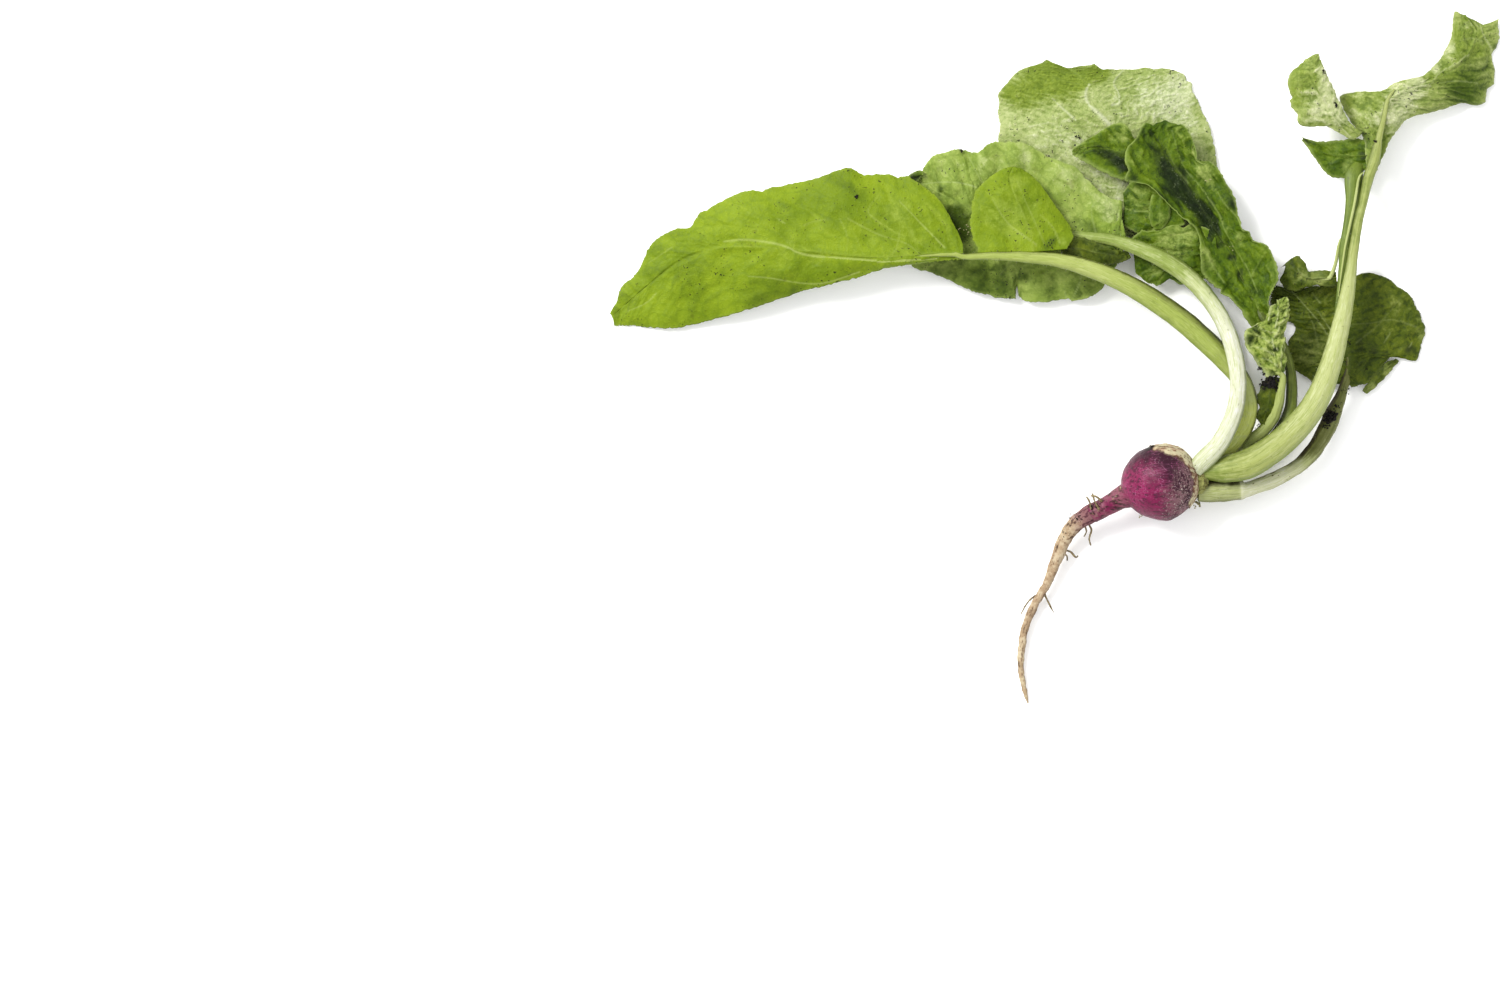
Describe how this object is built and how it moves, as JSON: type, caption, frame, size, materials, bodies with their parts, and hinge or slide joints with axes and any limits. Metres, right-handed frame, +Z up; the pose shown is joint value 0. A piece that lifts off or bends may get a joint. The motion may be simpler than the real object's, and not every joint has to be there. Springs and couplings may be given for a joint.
{
  "type": "young radish plant",
  "caption": "Young radish pulled whole, lying flat: round magenta bulb with neck, thin tan taproot and rootlets, crown, and long pale stalks with waved, lobed green leaves.",
  "frame": {"origin": "middle of the small flat spot under the bulb that the plant rests on, in the plane of the surface", "axes": "+Z up, away from the surface; +X along the plant's longest extent, from the long leaf's tip towards the tall leaf; +Y from the bulb towards the leaves"},
  "size_m": [0.2219, 0.1729, 0.0186],
  "materials": {
    "bulb_skin": "smooth magenta root skin, slightly glossy, tan and flaking near the crown",
    "root_skin": "dry tan root skin with dark specks",
    "crown_skin": "dull tan-green scarred skin",
    "pale_stalk": "moist whitish green, fine ridges and hairs",
    "lime_stalk": "moist lime green, fine ridges and hairs",
    "bright_blade": "bright yellow-green leaf, pale veins",
    "fresh_blade": "fresh green leaf, pale veins and wrinkles",
    "whitish_blade": "whitish underside of a leaf, wrinkled",
    "dark_blade": "dark green leaf, pale veins",
    "grey_blade": "grey-green leaf with a pale bloom"
  },
  "bodies": {
    "root": {"bulb": "bulb_skin", "taproot": "root_skin", "crown": "crown_skin", "stalk_arched": "pale_stalk", "stalk_tall": "pale_stalk", "stalk_low": "lime_stalk", "stalk_long": "lime_stalk", "stalk_dark": "lime_stalk", "stalk_young": "lime_stalk", "stalk_broad": "lime_stalk", "blade_long": "bright_blade", "lobe_long": "bright_blade", "blade_arched": "fresh_blade", "blade_broad": "whitish_blade", "blade_dark": "dark_blade", "lobe_dark_upper": "dark_blade", "lobe_dark_middle": "dark_blade", "lobe_dark_lower": "dark_blade", "blade_young": "fresh_blade", "lobe_young": "dark_blade", "blade_tall": "grey_blade", "lobe_tall_upper": "grey_blade", "lobe_tall_lower": "grey_blade", "leaflet_tall": "dark_blade", "blade_low": "dark_blade"}
  },
  "joints": []
}
